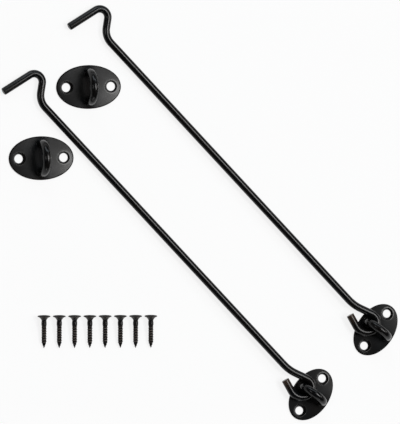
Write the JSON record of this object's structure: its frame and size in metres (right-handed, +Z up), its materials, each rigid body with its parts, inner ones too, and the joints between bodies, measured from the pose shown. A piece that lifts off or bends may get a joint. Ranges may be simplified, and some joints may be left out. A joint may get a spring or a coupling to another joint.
{
  "type": "hook latch set",
  "caption": "Wire door hooks, each threaded by its eye on a riveted staple plate, laid out with oval catch plates and countersunk screws.",
  "frame": {"origin": "centre of the back of the first hook plate, on the surface that the set lies on", "axes": "+Z up from that surface, +X to the right and +Y to the top of the set as it is laid out; the hooks lie from the lower right to the upper left"},
  "size_m": [0.282, 0.2823, 0.0176],
  "materials": {
    "hook_wire": "black satin powder coat on steel wire",
    "plate": "black satin powder coat on pressed steel",
    "staple": "black satin powder coat on steel wire",
    "screw": "black finish on hardened steel"
  },
  "bodies": {
    "hook_base_1": {"hook_plate_1": "plate", "hook_staple_1": "staple"},
    "hook_1": {"hook_rod_1": "hook_wire"},
    "hook_base_2": {"hook_plate_2": "plate", "hook_staple_2": "staple"},
    "hook_2": {"hook_rod_2": "hook_wire"},
    "catch_1": {"catch_plate_1": "plate", "catch_staple_1": "staple"},
    "catch_2": {"catch_plate_2": "plate", "catch_staple_2": "staple"},
    "loose_screw_1": {"screw_1": "screw"},
    "loose_screw_2": {"screw_2": "screw"},
    "loose_screw_3": {"screw_3": "screw"},
    "loose_screw_4": {"screw_4": "screw"},
    "loose_screw_5": {"screw_5": "screw"},
    "loose_screw_6": {"screw_6": "screw"},
    "loose_screw_7": {"screw_7": "screw"},
    "loose_screw_8": {"screw_8": "screw"}
  },
  "joints": [
    {"name": "hook_1_swing", "type": "hinge", "parent": "hook_base_1", "child": "hook_1", "pos_m": [0, 0, 0.0052], "axis": [0.5976, 0.8018, 0], "range_deg": [0, 180]},
    {"name": "hook_2_swing", "type": "hinge", "parent": "hook_base_2", "child": "hook_2", "pos_m": [0.04634, 0.04406, 0.0052], "axis": [0.5976, 0.8018, 0], "range_deg": [0, 180]},
    {"name": "hook_base_2_lift", "type": "slide", "parent": "hook_base_1", "child": "hook_base_2", "axis": [0, 0, 1], "range_m": [0, 0.03]},
    {"name": "catch_1_lift", "type": "slide", "parent": "hook_base_1", "child": "catch_1", "axis": [0, 0, 1], "range_m": [0, 0.03]},
    {"name": "catch_2_lift", "type": "slide", "parent": "hook_base_1", "child": "catch_2", "axis": [0, 0, 1], "range_m": [0, 0.03]},
    {"name": "screw_1_lift", "type": "slide", "parent": "hook_base_1", "child": "loose_screw_1", "axis": [0, 0, 1], "range_m": [0, 0.03]},
    {"name": "screw_2_lift", "type": "slide", "parent": "hook_base_1", "child": "loose_screw_2", "axis": [0, 0, 1], "range_m": [0, 0.03]},
    {"name": "screw_3_lift", "type": "slide", "parent": "hook_base_1", "child": "loose_screw_3", "axis": [0, 0, 1], "range_m": [0, 0.03]},
    {"name": "screw_4_lift", "type": "slide", "parent": "hook_base_1", "child": "loose_screw_4", "axis": [0, 0, 1], "range_m": [0, 0.03]},
    {"name": "screw_5_lift", "type": "slide", "parent": "hook_base_1", "child": "loose_screw_5", "axis": [0, 0, 1], "range_m": [0, 0.03]},
    {"name": "screw_6_lift", "type": "slide", "parent": "hook_base_1", "child": "loose_screw_6", "axis": [0, 0, 1], "range_m": [0, 0.03]},
    {"name": "screw_7_lift", "type": "slide", "parent": "hook_base_1", "child": "loose_screw_7", "axis": [0, 0, 1], "range_m": [0, 0.03]},
    {"name": "screw_8_lift", "type": "slide", "parent": "hook_base_1", "child": "loose_screw_8", "axis": [0, 0, 1], "range_m": [0, 0.03]}
  ]
}
